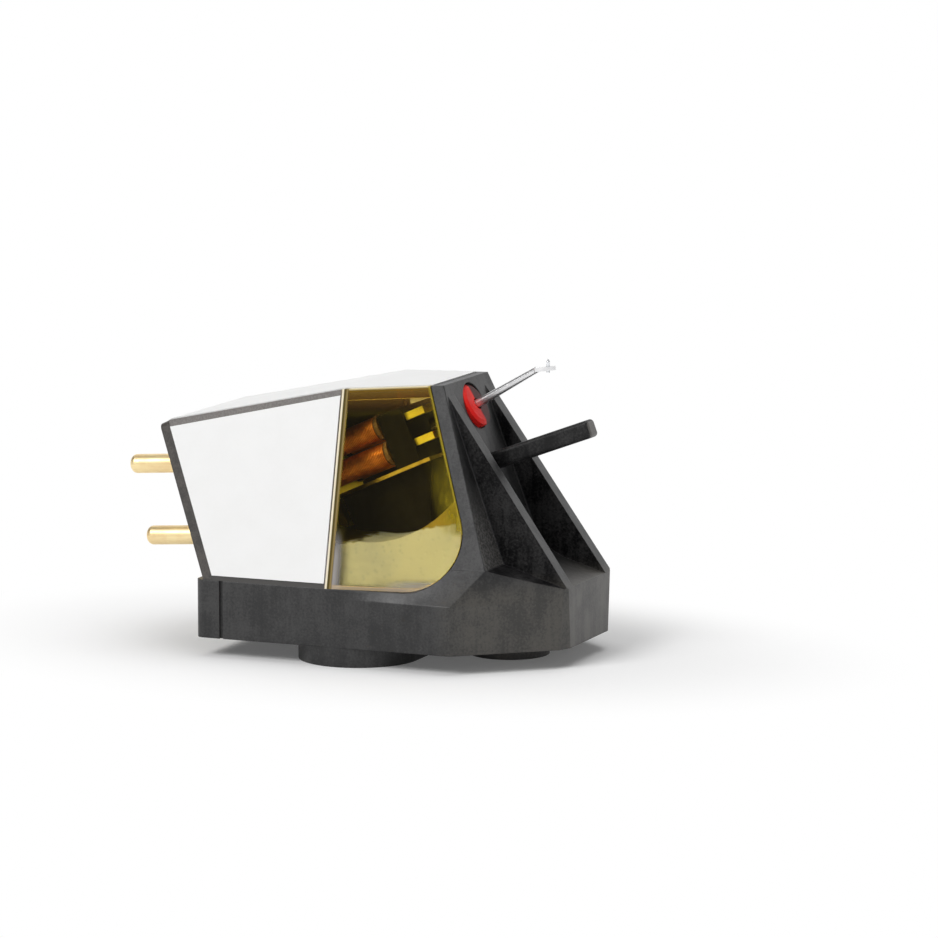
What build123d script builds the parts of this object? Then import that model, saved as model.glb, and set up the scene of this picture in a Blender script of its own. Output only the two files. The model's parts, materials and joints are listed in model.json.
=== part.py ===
from build123d import *
import math
import os

# A phono cartridge standing upside down on its mounting face, stylus up.
# Millimetres. The origin lies on the mounting face, midway between the two main screw holes.
# +X is forward, towards the stylus, +Y is the left-hand side and +Z points away from the headshell.

# Mounting face
hole_spacing = 12.7
hole_radius = 1.05
hole_depth = 3.4
third_hole_x = 7.0
land_x = -1.0
land_height = 1.2
land_radius = 3.75
pad_radius = 2.5

# Base of the body
base_rear = 10.4
base_width = 17.1
base_top = 4.8
flare_low = 4.2
shoulder_x = 6.6
nose_x = 12.3
nose_width = 7.4
nose_top = 4.9
nose_bevel = 0.55
nose_bevel_head = 0.2
rim_rise = 1.3
rear_corner = 0.6
groove_x = -8.6
groove_width = 0.25
groove_depth = 0.18

# House above the base: the outline that the cover and the front wall share
side_lean = 17.5
crease_x = -1.5
crease_lean = 2.1
front_lean = 20.4
front_foot = 8.6
foot_half = 6.9
head_half = 3.6
ridge_height = 16.55
rear_fall = 11.9
front_rise = 3.4
rear_foot = -9.1
rear_lean = 25.3

# Front wall, ribs and guard bar
frame_width = 0.8
flank_wall = 1.0
rib_wall = 1.0
rib_drop = 0.3
rib_inset = 0.25
channel_radius = 3.6
bar_drop = 3.4
bar_thick = 1.12
bar_width = 1.25
bar_length = 6.95
bar_round = 0.26
bar_tip_round = 0.24

# Clear cover and its label panels
cover_wall = 0.8
cover_gap = 0.06
window_radius = 3.1
label_thick = 0.06
label_margin = 0.38
label_foot = 0.3
label_crease_gap = 0.2
label_top_margin = 0.22

# Terminal plate and pins
plate_thick = 0.7
plate_tongue = 0.9
plate_corner = 0.5
plate_inset = 0.05
pin_radius = 0.6
pin_shank_radius = 0.4
pin_round = 0.35
pin_y = 3.3
pin_tilt = 4.0
pin_fit = 0.02
pin_inner = 0.6
upper_pin_z = 11.15
lower_pin_z = 6.75
upper_pin_reach = 4.3
lower_pin_reach = 5.3
ring_radius = 1.25
ring_thick = 0.15

# Stylus assembly and its suspension
pivot_drop = 1.25
cantilever_tilt = 30.4
cantilever_length = 4.75
cantilever_root_radius = 0.3
cantilever_end_radius = 0.2
cantilever_wall = 0.07
tip_tilt = 8.0
bend_lap = 0.04
crimp_length = 0.45
crimp_radius = 0.18
crimp_end_radius = 0.07
tip_length = 1.25
tip_width = 0.46
tip_thick = 0.24
stylus_setback = 0.5
stylus_radius = 0.11
stylus_below = 0.12
stylus_shank = 0.3
stylus_point = 0.18
stylus_point_radius = 0.015
stylus_fit = 0.01
damper_radius = 1.4
damper_gap = 0.06
damper_back = 0.42
damper_lip = 0.1
damper_rise = 0.12
damper_crown = 1.15
damper_hole_gap = 0.03
damper_hole_flare = 9.0
collar_start = 1.1
collar_length = 0.45
collar_radius = 0.62
collar_fit = 0.01
magnet_radius = 0.6
magnet_length = 1.5

# Generator: four coils on pole pieces, tied by a yoke, with a carrier that stands in pale potting
generator_tilt = 24.0
coil_y = 2.3
coil_v = 0.84
coil_front = 5.2
coil_length = 5.0
coil_radius = 0.76
bobbin_tube_radius = 0.55
bobbin_flange_radius = 0.82
bobbin_flange = 0.25
bobbin_sides = 12
bobbin_fit = 0.03
winding_gap = 0.02
pole_width = 0.7
pole_thick = 0.45
pole_front = 2.1
pole_hook = 0.9
pole_tip_y = 0.95
yoke_thick = 0.6
yoke_margin = 0.1
foot_width = 3.0
foot_bottom = 6.4
screen_drop = 2.0
screen_thick = 0.22
screen_front = 2.7
screen_width = 6.4
carrier_front = 3.4
carrier_gap = 0.1
carrier_half = 2.95
carrier_rise = 1.5
carrier_fit = 0.03
post_length = 1.2
post_width = 2.4
pedestal_front = 3.0
pedestal_rear = 9.5
pedestal_width = 4.8
fill_gap = 0.05
fill_rear = -6.8
fill_top = 7.4
fill_rise_x = -0.3
fill_mid_x = 3.5
fill_mid_z = 8.3
fill_front_z = 10.4
fill_front_gap = 0.15
wire_radius = 0.08
wire_sides = 8
wire_gap = 0.03
wire_out = 0.7
wire_end_run = 1.2

# Heights that follow the nose and the ridge
rim_z = nose_top + rim_rise
rib_top = ridge_height - rib_drop
pivot_z = ridge_height - pivot_drop
bar_height = pivot_z - bar_drop

# Size of the cutting tools, past every face of the part
reach = 30.0
# Length of a cutting tool for a small bore, each way
bore_reach = 7.5
# How far joined forms of one moulding run into each other
bite = 0.3


def tan(angle):
    return math.tan(math.radians(angle))


def sin(angle):
    return math.sin(math.radians(angle))


def cos(angle):
    return math.cos(math.radians(angle))


# Shared outlines

def wall_x(z):
    # Outer face of the front wall at height z.
    return front_foot - (z - base_top) * tan(front_lean)


def window_x(z):
    # Rear face of the front wall, where the cover ends.
    return wall_x(z) - frame_width


def plate_x(z):
    # Inner face of the terminal plate at height z.
    return rear_foot - (z - base_top) * tan(rear_lean)


def crease_at(z):
    return crease_x - (z - base_top) * tan(crease_lean)


def side_half(z):
    # Half width of the house between the terminal plate and the crease.
    return base_width / 2 - (z - base_top) * tan(side_lean)


def front_half(z):
    # Half width of the house at the front wall.
    slope = (foot_half - head_half) / (ridge_height - base_top)
    return foot_half - (z - base_top) * slope


def top_at(x):
    # Height of the top face at x.
    run = x - crease_at(ridge_height)
    if run < 0:
        return ridge_height + run * tan(rear_fall)
    return ridge_height + run * tan(front_rise)


def rear_head():
    # Height at which the top face meets the inner face of the terminal plate.
    fall = tan(rear_fall)
    lean = tan(rear_lean)
    run = rear_foot + base_top * lean - crease_at(ridge_height)
    return (ridge_height + run * fall) / (1 + lean * fall)


def side_face(points):
    return make_face(Polyline(*points, close=True))


def side_prism(points):
    return extrude(Plane.XZ * side_face(points), reach, both=True)


def plan_prism(points, low, high):
    return extrude(Plane.XY.offset(low) * make_face(Polyline(*points, close=True)), high - low)


def house(inset):
    # The whole house, with its sides and top moved inward by the inset.
    head = ridge_height + land_height
    spread = inset / cos(side_lean)
    outlines = []
    for z in (base_top, head):
        half = side_half(z) - spread
        front = front_half(z) - spread
        points = mirrored([(-reach, -half), (crease_at(z), -half), (wall_x(z), -front)])
        outlines.append(Plane.XY.offset(z) * make_face(Polyline(*points, close=True)))
    ridge = crease_at(ridge_height)
    roof = side_prism([
        (-reach, base_top),
        (reach, base_top),
        (reach, top_at(reach) - inset / cos(front_rise)),
        (ridge, ridge_height - inset),
        (-reach, top_at(-reach) - inset / cos(rear_fall)),
    ])
    return loft(outlines, ruled=True) & roof


def cover_zone(gap, radius):
    # Side outline of the cover, from the terminal plate to the window's front edge.
    head = ridge_height + land_height
    corner = (window_x(base_top) - gap, base_top)
    face = side_face([
        (plate_x(base_top), base_top),
        corner,
        (window_x(head) - gap, head),
        (plate_x(head), head),
    ])
    if radius > 0:
        face = fillet(face.vertices().sort_by_distance((corner[0], corner[1], 0))[0], radius)
    return extrude(Plane.XZ * face, reach, both=True)


def mirrored(points):
    # The points of the right-hand side, then those of the left, in order round the outline.
    return points + [(x, -y) for x, y in reversed(points)]


def base_outline(rear):
    half = base_width / 2
    return mirrored([(rear, -half), (shoulder_x, -half), (nose_x, -nose_width / 2)])


def rim_outline(rear):
    # The base's outline where the shoulders have leaned in to the front wall.
    corner = (wall_x(rim_z), -front_half(rim_z))
    return mirrored([(rear, -base_width / 2), corner, (nose_x, -nose_width / 2)])


# Body moulding

def base_block():
    # Upright sides as far as the crease, and up to the flare in front of it.
    block = plan_prism(base_outline(-base_rear), land_height, base_top)
    block = fillet(block.edges().filter_by(Axis.Z).sort_by(Axis.X)[:2], rear_corner)
    return block & side_prism([
        (-base_rear, land_height),
        (nose_x, land_height),
        (nose_x, flare_low),
        (crease_x, flare_low),
        (crease_x, base_top),
        (-base_rear, base_top),
    ])


def flare():
    # Shoulders and chamfers that lean in to the foot of the front wall, with a sloping floor before it.
    low = make_face(Polyline(*base_outline(crease_x), close=True))
    high = make_face(Polyline(*rim_outline(crease_x), close=True))
    profile = side_prism([
        (crease_x, flare_low),
        (nose_x, flare_low),
        (nose_x, nose_top),
        (wall_x(rim_z), rim_z),
        (crease_x, rim_z),
    ])
    block = loft([Plane.XY.offset(flare_low) * low, Plane.XY.offset(rim_z) * high], ruled=True) & profile
    block -= cover_zone(0, window_radius)
    return block - (house(flank_wall) & cover_zone(0, 0))


def mounting_lands():
    centre = base_width / 2 - land_radius
    low_face = make_hull([
        *(Pos(land_x, -centre) * Circle(land_radius)).edges(),
        *(Pos(land_x, centre) * Circle(land_radius)).edges(),
    ])
    land = extrude(low_face, land_height + bite)
    pad = extrude(Pos(third_hole_x, 0) * Circle(pad_radius), land_height + bite)
    return land + pad


def screw_holes():
    places = [(0, -hole_spacing / 2), (0, hole_spacing / 2), (third_hole_x, 0)]
    return [extrude(Pos(x, y) * Circle(hole_radius), hole_depth) for x, y in places]


def front_frame():
    # Front wall with the flanks that run back to the window's rounded corner.
    frame = house(0) & plan_prism(rim_outline(crease_x), base_top, ridge_height + land_height)
    frame -= cover_zone(0, window_radius)
    return frame - (house(flank_wall) & cover_zone(0, 0))


def channel_floor():
    # Hollow sweep of the floor between the ribs, up into the front wall.
    high = rim_z + channel_radius + rim_rise
    face = side_face([
        (wall_x(base_top) - bite, base_top - bite),
        (nose_x, base_top - bite),
        (nose_x, nose_top),
        (wall_x(rim_z), rim_z),
        (wall_x(high), high),
        (wall_x(high) - bite, high),
    ])
    face = fillet(face.vertices().sort_by_distance((wall_x(rim_z), rim_z, 0))[0], channel_radius)
    return extrude(Plane.XZ * face, nose_width / 2 - rib_wall / 2, both=True)


def ribs():
    # Two gussets from the nose to the head of the front wall, closer together at the head.
    gusset = side_prism([
        (wall_x(base_top) - bite, base_top),
        (nose_x, base_top),
        (nose_x, nose_top),
        (wall_x(rib_top), rib_top),
        (wall_x(rib_top) - bite, rib_top),
    ])
    low = nose_width / 2
    high = front_half(rib_top) - rib_inset
    pair = []
    for side in (-1, 1):
        band = make_face(Polyline(
            (side * (low - rib_wall), base_top),
            (side * low, base_top),
            (side * high, rib_top),
            (side * (high - rib_wall), rib_top),
            close=True,
        ))
        pair.append(gusset & extrude(Plane.YZ * band, reach, both=True))
    return pair


def wall_plane(z):
    # On the front wall at height z, with its normal pointing out of the wall.
    return Plane((wall_x(z), 0, z), x_dir=(0, 1, 0), z_dir=(cos(front_lean), 0, sin(front_lean)))


def guard_bar():
    section = wall_plane(bar_height).offset(-bite) * RectangleRounded(bar_width, bar_thick, bar_round)
    bar = extrude(section, bar_length + bite)
    tip = bar.faces().sort_by(Axis.X)[-1]
    return fillet(tip.edges(), bar_tip_round)


def nose_bevels():
    # Slim facets at the nose's corners, wider at the foot than at the head.
    cuts = []
    for side in (-1, 1):
        corners = []
        for z, width in ((land_height - bite, nose_bevel), (nose_top + bite, nose_bevel_head)):
            half = side * nose_width / 2
            shoulder = side * base_width / 2
            run = math.hypot(shoulder_x - nose_x, shoulder - half)
            back = (nose_x + (shoulder_x - nose_x) * width / run, half + (shoulder - half) * width / run)
            face = make_face(Polyline(
                (nose_x, half - side * width),
                back,
                (nose_x + base_rear, shoulder),
                (nose_x + base_rear, half - side * width),
                close=True,
            ))
            corners.append(Plane.XY.offset(z) * face)
        cuts.append(loft(corners, ruled=True))
    return cuts


def body():
    solid = base_block()
    solid += flare()
    solid += mounting_lands()
    solid += front_frame()
    solid += channel_floor()
    for rib in ribs():
        solid += rib
    solid += guard_bar()
    for cut in screw_holes() + nose_bevels():
        solid -= cut
    seat = arm_plane(0) * Circle(damper_radius + damper_gap)
    solid -= extrude(seat, frame_width * 2, both=True)
    solid -= terminal_blank()
    for side in (-1, 1):
        slit = Pos(groove_x, side * base_width / 2, base_top / 2)
        solid -= slit * Box(groove_width, groove_depth * 2, base_top * 2)
    return solid


# Cover and labels

def clear_cover():
    shell = house(0) - house(cover_wall)
    return shell & cover_zone(cover_gap, window_radius)


def label_skin():
    return house(-label_thick) - house(0)


def side_label(side):
    low = base_top + label_foot
    rear_high = rear_head() - label_margin
    front_high = ridge_height - label_margin
    outline = side_prism([
        (plate_x(low), low),
        (crease_at(low) - label_crease_gap, low),
        (crease_at(front_high) - label_crease_gap, front_high),
        (plate_x(rear_high), rear_high),
    ])
    half_space = Pos(0, side * reach / 2, 0) * Box(reach * 4, reach, reach * 4)
    return label_skin() & outline & half_space


def underside_label():
    rear = plate_x(rear_head())
    ridge = crease_at(ridge_height)
    front = window_x(ridge_height) - cover_gap
    rear_half = side_half(rear_head()) - label_top_margin
    ridge_half = side_half(ridge_height) - label_top_margin
    front_half_width = front_half(ridge_height) - label_top_margin
    points = mirrored([(rear, -rear_half), (ridge, -ridge_half), (front, -front_half_width)])
    return label_skin() & plan_prism(points, base_top, ridge_height + land_height)


# Terminal plate, pins and colour rings

def plate_plane():
    # Inner face of the terminal plate, with its normal pointing out to the rear.
    normal = (-cos(rear_lean), 0, -sin(rear_lean))
    return Plane((rear_foot, 0, base_top), x_dir=(0, -1, 0), z_dir=normal)


def terminal_blank():
    head = (rear_head() - base_top) / cos(rear_lean)
    foot_half_width = side_half(base_top) - plate_inset
    head_half_width = side_half(rear_head()) - plate_inset
    face = make_face(Polyline(
        (-foot_half_width, -plate_tongue),
        (foot_half_width, -plate_tongue),
        (foot_half_width, 0),
        (head_half_width, head),
        (-head_half_width, head),
        (-foot_half_width, 0),
        close=True,
    ))
    face = fillet(face.vertices().sort_by(Axis.Y)[-2:], plate_corner)
    return extrude(plate_plane() * face, plate_thick)


def pin_plane(side, z):
    # Where a pin's axis leaves the plate's outer face, pointing out to the rear.
    x = plate_x(z) - plate_thick / cos(rear_lean)
    return Plane((x, side * pin_y, z), x_dir=(0, -1, 0), z_dir=(-cos(pin_tilt), 0, -sin(pin_tilt)))


def pin_bore(side, z):
    return extrude(pin_plane(side, z) * Circle(pin_shank_radius + pin_fit), bore_reach, both=True)


def pin_back():
    # How far a pin's shank runs back through the plate to its inner end.
    return plate_thick / cos(rear_lean - pin_tilt) + pin_inner


def pin_shoulder():
    # Where the full pin starts, clear of the slanted plate and its ring.
    slant = rear_lean - pin_tilt
    return pin_radius * tan(slant) + ring_thick / cos(slant) + pin_fit


def pin(side, z, length):
    place = pin_plane(side, z)
    shank = extrude(place.offset(-pin_back()) * Circle(pin_shank_radius), pin_back() + pin_shoulder())
    rod = extrude(place.offset(pin_shoulder()) * Circle(pin_radius), length - pin_shoulder())
    rod = fillet(rod.edges().filter_by(GeomType.CIRCLE).sort_by(Axis.X)[0], pin_round)
    return shank + rod


def colour_ring(side, z):
    x = plate_x(z) - plate_thick / cos(rear_lean)
    normal = (-cos(rear_lean), 0, -sin(rear_lean))
    face = Plane((x, side * pin_y, z), x_dir=(0, -1, 0), z_dir=normal)
    return extrude(face * Circle(ring_radius), ring_thick) - pin_bore(side, z)


def terminal_plate():
    plate = terminal_blank()
    for side in (-1, 1):
        for z in (upper_pin_z, lower_pin_z):
            plate -= pin_bore(side, z)
    return plate


# Stylus assembly

def pivot():
    return Vector(wall_x(pivot_z), 0, pivot_z)


def taper(place, radius, end_radius, length):
    # Round taper from the plane along its normal.
    cone = Cone(radius, end_radius, length, align=(Align.CENTER, Align.CENTER, Align.MIN))
    return place.location * cone


def arm_plane(s):
    # Across the cantilever's axis, s forward of the pivot.
    axis = Vector(cos(cantilever_tilt), 0, sin(cantilever_tilt))
    return Plane(pivot() + axis * s, x_dir=(0, 1, 0), z_dir=axis)


def cantilever_back():
    return collar_start + collar_length


def tip_plane():
    # Flat tip beyond the bend: x along the tip, z across its flat.
    bend = arm_plane(cantilever_length).origin
    return Plane(bend, x_dir=(cos(tip_tilt), 0, sin(tip_tilt)), z_dir=(-sin(tip_tilt), 0, cos(tip_tilt)))


def stylus_place():
    along = tip_length - stylus_setback
    return tip_plane().origin + tip_plane().x_dir * along


def cantilever():
    rear = arm_plane(-cantilever_back())
    length = cantilever_back() + cantilever_length + bend_lap
    tube = taper(rear, cantilever_root_radius, cantilever_end_radius, length)
    bore = extrude(rear * Circle(cantilever_end_radius - cantilever_wall), length - tip_width)
    flat = Pos(tip_length / 2 - tip_width / 4, 0) * SlotOverall(tip_length + tip_width / 2, tip_width)
    tip = tip_plane()
    blade = extrude(tip * flat, tip_thick / 2, both=True)
    turn = Plane(tip.origin - tip.x_dir * bend_lap, x_dir=(0, 1, 0), z_dir=tip.x_dir)
    crimp = taper(turn, crimp_radius, crimp_end_radius, crimp_length)
    arm = tube + crimp + blade
    return arm - bore - stylus_shank_rod(stylus_radius + stylus_fit)


def stylus_shank_rod(radius):
    place = stylus_place()
    low = Plane((place.X, 0, place.Z - tip_thick / 2 - stylus_below))
    return extrude(low * Circle(radius), tip_thick + stylus_below + stylus_shank)


def stylus():
    rod = stylus_shank_rod(stylus_radius)
    shoulder = Plane(rod.faces().sort_by(Axis.Z)[-1].center())
    return rod + taper(shoulder, stylus_radius, stylus_point_radius, stylus_point)


def damper():
    # Elastomer plug square to the cantilever, with a blunt cone round its root.
    front = damper_lip + damper_rise
    plug = extrude(arm_plane(-damper_back) * Circle(damper_radius), damper_back + damper_lip)
    plug += taper(arm_plane(damper_lip), damper_radius, damper_crown, damper_rise)
    # The passage is narrowest at the pivot, so the cantilever can swing in it.
    waist = cantilever_root_radius + damper_hole_gap
    slope = tan(damper_hole_flare)
    plug -= taper(arm_plane(0), waist, waist + front * slope, front)
    return plug - taper(arm_plane(-damper_back), waist + damper_back * slope, waist, damper_back)


def magnet_collar():
    ring = extrude(arm_plane(-cantilever_back()) * Circle(collar_radius), collar_length)
    return ring - extrude(arm_plane(0) * Circle(cantilever_root_radius + collar_fit), bore_reach, both=True)


def magnet():
    rear = arm_plane(-cantilever_back() - magnet_length)
    return extrude(rear * Circle(magnet_radius), magnet_length)


# Generator

def generator_plane(s, y, v):
    # Across the generator's axis: s forward of the pivot, y to the left, v above the axis.
    axis = Vector(cos(generator_tilt), 0, sin(generator_tilt))
    up = Vector(-sin(generator_tilt), 0, cos(generator_tilt))
    return Plane(pivot() + axis * s + Vector(0, y, 0) + up * v, x_dir=(0, 1, 0), z_dir=axis)


def coil_rear():
    return coil_front + coil_length


def pole_piece(side, level):
    # Flat lamination, with a hook at its front end that turns in towards the magnet.
    low = coil_y - pole_width / 2
    high = coil_y + pole_width / 2
    back = -coil_rear() - yoke_margin
    outline = [
        (back, low),
        (-pole_front - pole_hook, low),
        (-pole_front - pole_hook, pole_tip_y),
        (-pole_front, pole_tip_y),
        (-pole_front, high),
        (back, high),
    ]
    frame = generator_plane(0, 0, level * coil_v)
    flat = Plane(frame.origin, x_dir=frame.z_dir, z_dir=frame.y_dir)
    # The flat's own y axis runs to the left, as the frame's x axis does.
    turn = flat.y_dir.Y
    face = make_face(Polyline(*[(s, side * turn * y) for s, y in outline], close=True))
    return extrude(flat * face, pole_thick / 2, both=True)


def bobbin(side, level):
    place = generator_plane(-coil_rear(), side * coil_y, level * coil_v)
    tube = extrude(place * Circle(bobbin_tube_radius), coil_length)
    flange = RegularPolygon(bobbin_flange_radius, bobbin_sides)
    rear_flange = extrude(place * flange, bobbin_flange)
    front = place.offset(coil_length - bobbin_flange)
    front_flange = extrude(front * flange, bobbin_flange)
    bore = Rectangle(pole_width + 2 * bobbin_fit, pole_thick + 2 * bobbin_fit)
    return tube + rear_flange + front_flange - extrude(place * bore, coil_length)


def winding(side, level):
    place = generator_plane(-coil_rear() + bobbin_flange + winding_gap, side * coil_y, level * coil_v)
    ring = Circle(coil_radius) - Circle(bobbin_tube_radius + winding_gap)
    return extrude(place * ring, coil_length - 2 * (bobbin_flange + winding_gap))


def yoke():
    # Plate across the rear ends of the pole pieces, with a foot that stands in the potting.
    s = -coil_rear() - yoke_margin
    half = coil_y + pole_width / 2 + yoke_margin
    high = coil_v + pole_thick / 2 + yoke_margin
    low = screen_drop + screen_thick
    foot = (pivot().Z + s * sin(generator_tilt) - foot_bottom) / cos(generator_tilt)
    face = make_face(Polyline(
        (-half, high),
        (half, high),
        (half, -low),
        (foot_width / 2, -low),
        (foot_width / 2, -foot),
        (-foot_width / 2, -foot),
        (-foot_width / 2, -low),
        (-half, -low),
        close=True,
    ))
    return extrude(generator_plane(s, 0, 0) * face, -yoke_thick)


def screen_plate():
    rear = coil_rear() + yoke_margin
    place = generator_plane(-rear, 0, -screen_drop - screen_thick / 2)
    sheet = extrude(place * Rectangle(screen_width, screen_thick), rear - screen_front)
    return sheet - carrier_post(carrier_fit)


def carrier_post(gap):
    # The part of the carrier that goes through the screen.
    middle = -(carrier_front + coil_front - carrier_gap) / 2
    place = generator_plane(middle, 0, -screen_drop - screen_thick / 2)
    section = Rectangle(post_width + 2 * gap, screen_thick + 2 * bite)
    return extrude(place * section, post_length / 2 + gap, both=True)


def coil_carrier():
    # Block with a passage for each pole piece, on a pedestal under the screen.
    back = coil_front - carrier_gap
    length = back - carrier_front
    middle = (carrier_rise - screen_drop) / 2
    section = Rectangle(2 * carrier_half, carrier_rise + screen_drop)
    block = extrude(generator_plane(-back, 0, middle) * section, length)
    passage = Rectangle(pole_width + 2 * carrier_fit, pole_thick + 2 * carrier_fit)
    for side in (-1, 1):
        for level in (-1, 1):
            place = generator_plane(-back, side * coil_y, level * coil_v)
            block -= extrude(place * passage, length)
    low = -screen_drop - screen_thick
    front = generator_plane(-pedestal_front, 0, low).origin
    rear = generator_plane(-pedestal_rear, 0, low).origin
    fall = (rear.Z - foot_bottom) * tan(generator_tilt)
    pedestal = side_face([
        (rear.X, rear.Z),
        (front.X, front.Z),
        (front.X, foot_bottom),
        (rear.X + fall, foot_bottom),
    ])
    return block + carrier_post(0) + extrude(Plane.XZ * pedestal, pedestal_width / 2, both=True)


def potting_fill():
    # Pale potting on the floor, rising to the rear face of the front wall.
    front_low = window_x(base_top) - fill_front_gap
    front_high = (window_x(fill_front_z) - fill_front_gap, fill_front_z)
    rise = (fill_rise_x, fill_top)
    lines = [
        Polyline(front_high, (front_low, base_top), (fill_rear, base_top), (fill_rear, fill_top), rise),
        ThreePointArc(rise, (fill_mid_x, fill_mid_z), front_high),
    ]
    block = extrude(Plane.XZ * make_face(lines), reach, both=True)
    return (block & house(flank_wall + fill_gap)) - yoke() - coil_carrier()


def lead_wire(side, level, pin_z):
    # Enamelled wire from a coil's rear flange to the inner end of its pin.
    place = generator_plane(-coil_rear() + bobbin_flange / 2, 0, level * coil_v).origin
    start = place + Vector(0, side * (coil_y + bobbin_flange_radius + wire_gap), 0)
    out = start + Vector(0, side * wire_out, 0)
    back = pin_plane(side, pin_z)
    end = back.origin - back.z_dir * pin_back()
    lead = end - back.z_dir * wire_end_run
    section = Plane(start, z_dir=(0, side, 0)) * RegularPolygon(wire_radius, wire_sides)
    return sweep(section, Polyline(start, out, lead, end), transition=Transition.RIGHT)


def build():
    os.makedirs("parts", exist_ok=True)
    nodes = {
        "body": body(),
        "clear_cover": clear_cover(),
        "left_label": side_label(1),
        "right_label": side_label(-1),
        "underside_label": underside_label(),
        "terminal_plate": terminal_plate(),
        "damper": damper(),
        "cantilever": cantilever(),
        "stylus": stylus(),
        "magnet_collar": magnet_collar(),
        "magnet": magnet(),
        "yoke": yoke(),
        "screen_plate": screen_plate(),
        "coil_carrier": coil_carrier(),
        "potting_fill": potting_fill(),
    }
    sides = {"left": 1, "right": -1}
    levels = {"upper": (1, upper_pin_z, upper_pin_reach), "lower": (-1, lower_pin_z, lower_pin_reach)}
    for side_name, side in sides.items():
        for level_name, (level, pin_z, length) in levels.items():
            place = level_name + "_" + side_name
            nodes[place + "_pin"] = pin(side, pin_z, length)
            nodes[place + "_ring"] = colour_ring(side, pin_z)
            nodes[place + "_pole"] = pole_piece(side, level)
            nodes[place + "_bobbin"] = bobbin(side, level)
            nodes[place + "_winding"] = winding(side, level)
            nodes[place + "_lead"] = lead_wire(side, level, pin_z)
    for name, shape in nodes.items():
        export_step(shape, "parts/" + name + ".step")


build()
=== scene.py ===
import json
import math
import bpy
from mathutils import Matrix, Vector


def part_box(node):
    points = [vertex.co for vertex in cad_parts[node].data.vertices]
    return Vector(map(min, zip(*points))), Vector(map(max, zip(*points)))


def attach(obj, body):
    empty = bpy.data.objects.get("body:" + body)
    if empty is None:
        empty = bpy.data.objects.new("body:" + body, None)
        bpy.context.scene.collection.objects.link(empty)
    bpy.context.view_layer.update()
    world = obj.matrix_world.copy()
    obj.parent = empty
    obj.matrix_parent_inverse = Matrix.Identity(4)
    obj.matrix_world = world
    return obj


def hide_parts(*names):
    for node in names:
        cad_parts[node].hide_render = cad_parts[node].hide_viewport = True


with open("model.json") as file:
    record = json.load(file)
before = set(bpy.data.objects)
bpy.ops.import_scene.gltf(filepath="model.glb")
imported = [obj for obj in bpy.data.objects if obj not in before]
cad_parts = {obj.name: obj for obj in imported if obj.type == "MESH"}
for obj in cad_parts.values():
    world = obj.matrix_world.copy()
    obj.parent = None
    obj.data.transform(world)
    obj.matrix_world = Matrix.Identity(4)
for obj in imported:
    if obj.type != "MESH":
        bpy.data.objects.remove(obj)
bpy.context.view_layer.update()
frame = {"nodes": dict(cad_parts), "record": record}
nodes = frame["nodes"]
mm = 0.001
print("frame loaded:", len(nodes), "nodes")


# A socket of a node tree. Operators on it add the nodes, so finishes read as plain maths.
class Tap:
    def __init__(self, tree, socket=None):
        self.tree = tree
        self.socket = socket

    def node(self, kind, settings=None, values=None, out=0):
        made = self.tree.nodes.new(kind)
        for key, value in (settings or {}).items():
            if key == "stops":
                fillRamp(made.color_ramp, value)
            else:
                setattr(made, key, value)
        for key, value in (values or {}).items():
            target = self.findInput(made, key)
            if isinstance(value, Tap):
                self.tree.links.new(value.socket, target)
            else:
                target.default_value = value
        return Tap(self.tree, made.outputs[out])

    def findInput(self, made, key):
        if isinstance(key, int):
            return made.inputs[key]
        return next(s for s in made.inputs if key in (s.identifier, s.name) and s.enabled)

    def join(self, operation, other, flipped=False):
        first, second = (other, self) if flipped else (self, other)
        kinds = {t.socket.type for t in (first, second) if isinstance(t, Tap)}
        if "RGBA" in kinds:
            settings = {"data_type": "RGBA", "blend_type": operation}
            values = {"Factor_Float": 1, "A_Color": first, "B_Color": second}
            return self.node("ShaderNodeMix", settings, values, 2)
        if "VECTOR" in kinds:
            return self.node("ShaderNodeVectorMath", {"operation": operation}, {0: first, 1: second})
        return self.node("ShaderNodeMath", {"operation": operation}, {0: first, 1: second})

    def __add__(self, other):
        return self.join("ADD", other)

    def __radd__(self, other):
        return self.join("ADD", other, True)

    def __sub__(self, other):
        return self.join("SUBTRACT", other)

    def __rsub__(self, other):
        return self.join("SUBTRACT", other, True)

    def __mul__(self, other):
        return self.join("MULTIPLY", other)

    def __rmul__(self, other):
        return self.join("MULTIPLY", other, True)

    def __truediv__(self, other):
        return self.join("DIVIDE", other)

    def __rtruediv__(self, other):
        return self.join("DIVIDE", other, True)

    def over(self, low, high):  # 0 below low, 1 above high, smooth between
        return self.node("ShaderNodeMapRange", {"interpolation_type": "SMOOTHSTEP"},
                         {"Value": self, "From Min": low, "From Max": high})

    def pick(self, first, second):  # colour by this mask
        return self.node("ShaderNodeMix", {"data_type": "RGBA"},
                         {"Factor_Float": self, "A_Color": first, "B_Color": second}, 2)

    def most(self, *others):  # the strongest of several masks
        result = self
        for other in others:
            result = result.join("MAXIMUM", other)
        return result


def fillRamp(ramp, stops):
    while len(ramp.elements) < len(stops):
        ramp.elements.new(1)
    for element, (position, colour) in zip(ramp.elements, stops):
        element.position = position
        element.color = colour


def rgb(r, g, b):
    return (r, g, b, 1)


def dimmed(colour, share):
    return rgb(*(c * share for c in colour[:3]))


def slope(degrees):
    return math.tan(math.radians(degrees))


plainWhite = rgb(1, 1, 1)


# A finish is a material with its Principled shader; fixed numbers sit on the shader's own sockets.
def newFinish(name, **fixed):
    material = bpy.data.materials.new(name)
    material.use_nodes = True
    shader = material.node_tree.nodes["Principled BSDF"]
    for key, value in fixed.items():
        shader.inputs[key.replace("_", " ")].default_value = value
    return material, shader, Tap(material.node_tree)


def feed(sheet, shader, **taps):
    for key, tap in taps.items():
        sheet.tree.links.new(tap.socket, shader.inputs[key.replace("_", " ")])


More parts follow.
